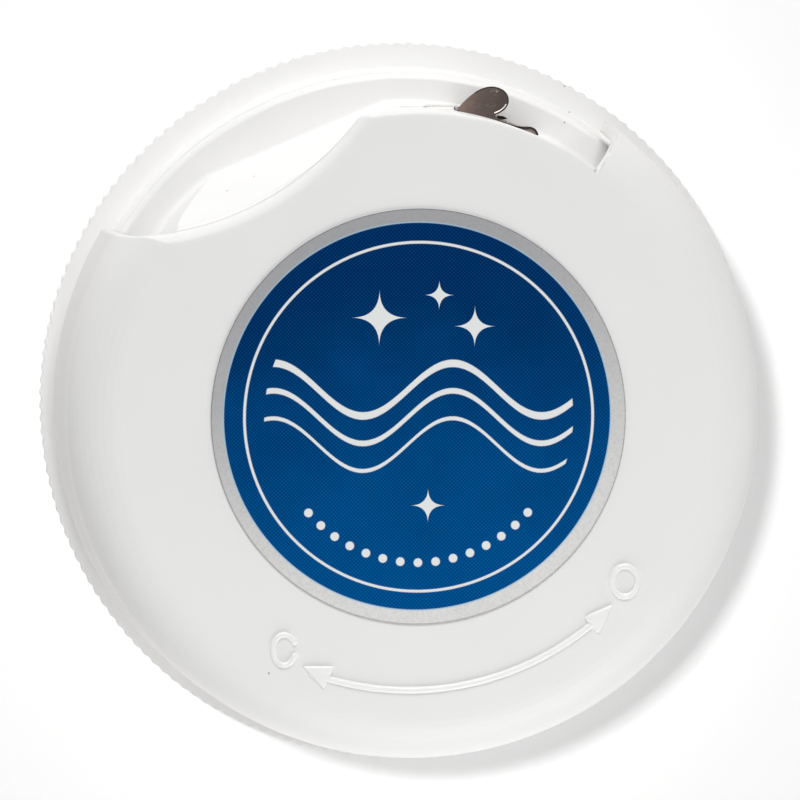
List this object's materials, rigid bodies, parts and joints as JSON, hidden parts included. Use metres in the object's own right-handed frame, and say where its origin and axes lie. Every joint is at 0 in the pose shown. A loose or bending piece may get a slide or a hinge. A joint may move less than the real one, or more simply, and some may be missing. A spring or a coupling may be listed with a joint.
{
  "type": "dental floss dispenser",
  "caption": "Round floss dispenser: knurled base, drum with finger recess and steel cutter, and a cup-shaped cover whose window turns away to hide them.",
  "frame": {"origin": "on the axis, in the plane of the resting back", "axes": "+Z along the axis, out of the labelled face; +Y towards the middle of the finger recess"},
  "size_m": [0.062, 0.062, 0.0201],
  "materials": {
    "base_plastic": "white moulded plastic, satin gloss",
    "drum_plastic": "white moulded plastic, satin gloss",
    "cover_plastic": "white moulded plastic, satin gloss with fine scratches",
    "label_foil": "silver foil printed deep blue, with a plain silver ring at its edge",
    "cutter_steel": "thin spring steel, dark and slightly bronzed",
    "bobbin_plastic": "natural moulded plastic",
    "floss_fibre": "waxed white floss"
  },
  "bodies": {
    "housing": {"knurled_base": "base_plastic", "inner_drum": "drum_plastic", "floss_cutter": "cutter_steel", "floss_lead": "floss_fibre"},
    "cover": {"turning_cover": "cover_plastic", "front_label": "label_foil"},
    "spool": {"bobbin": "bobbin_plastic", "floss_winding": "floss_fibre"}
  },
  "joints": [
    {"name": "cover_turn", "type": "hinge", "parent": "housing", "child": "cover", "pos_m": [0, 0, 0.0185], "axis": [0, 0, 1], "range_deg": [-90, 0]},
    {"name": "spool_spin", "type": "hinge", "parent": "housing", "child": "spool", "pos_m": [0, 0, 0.008], "axis": [0, 0, 1], "continuous": true}
  ]
}
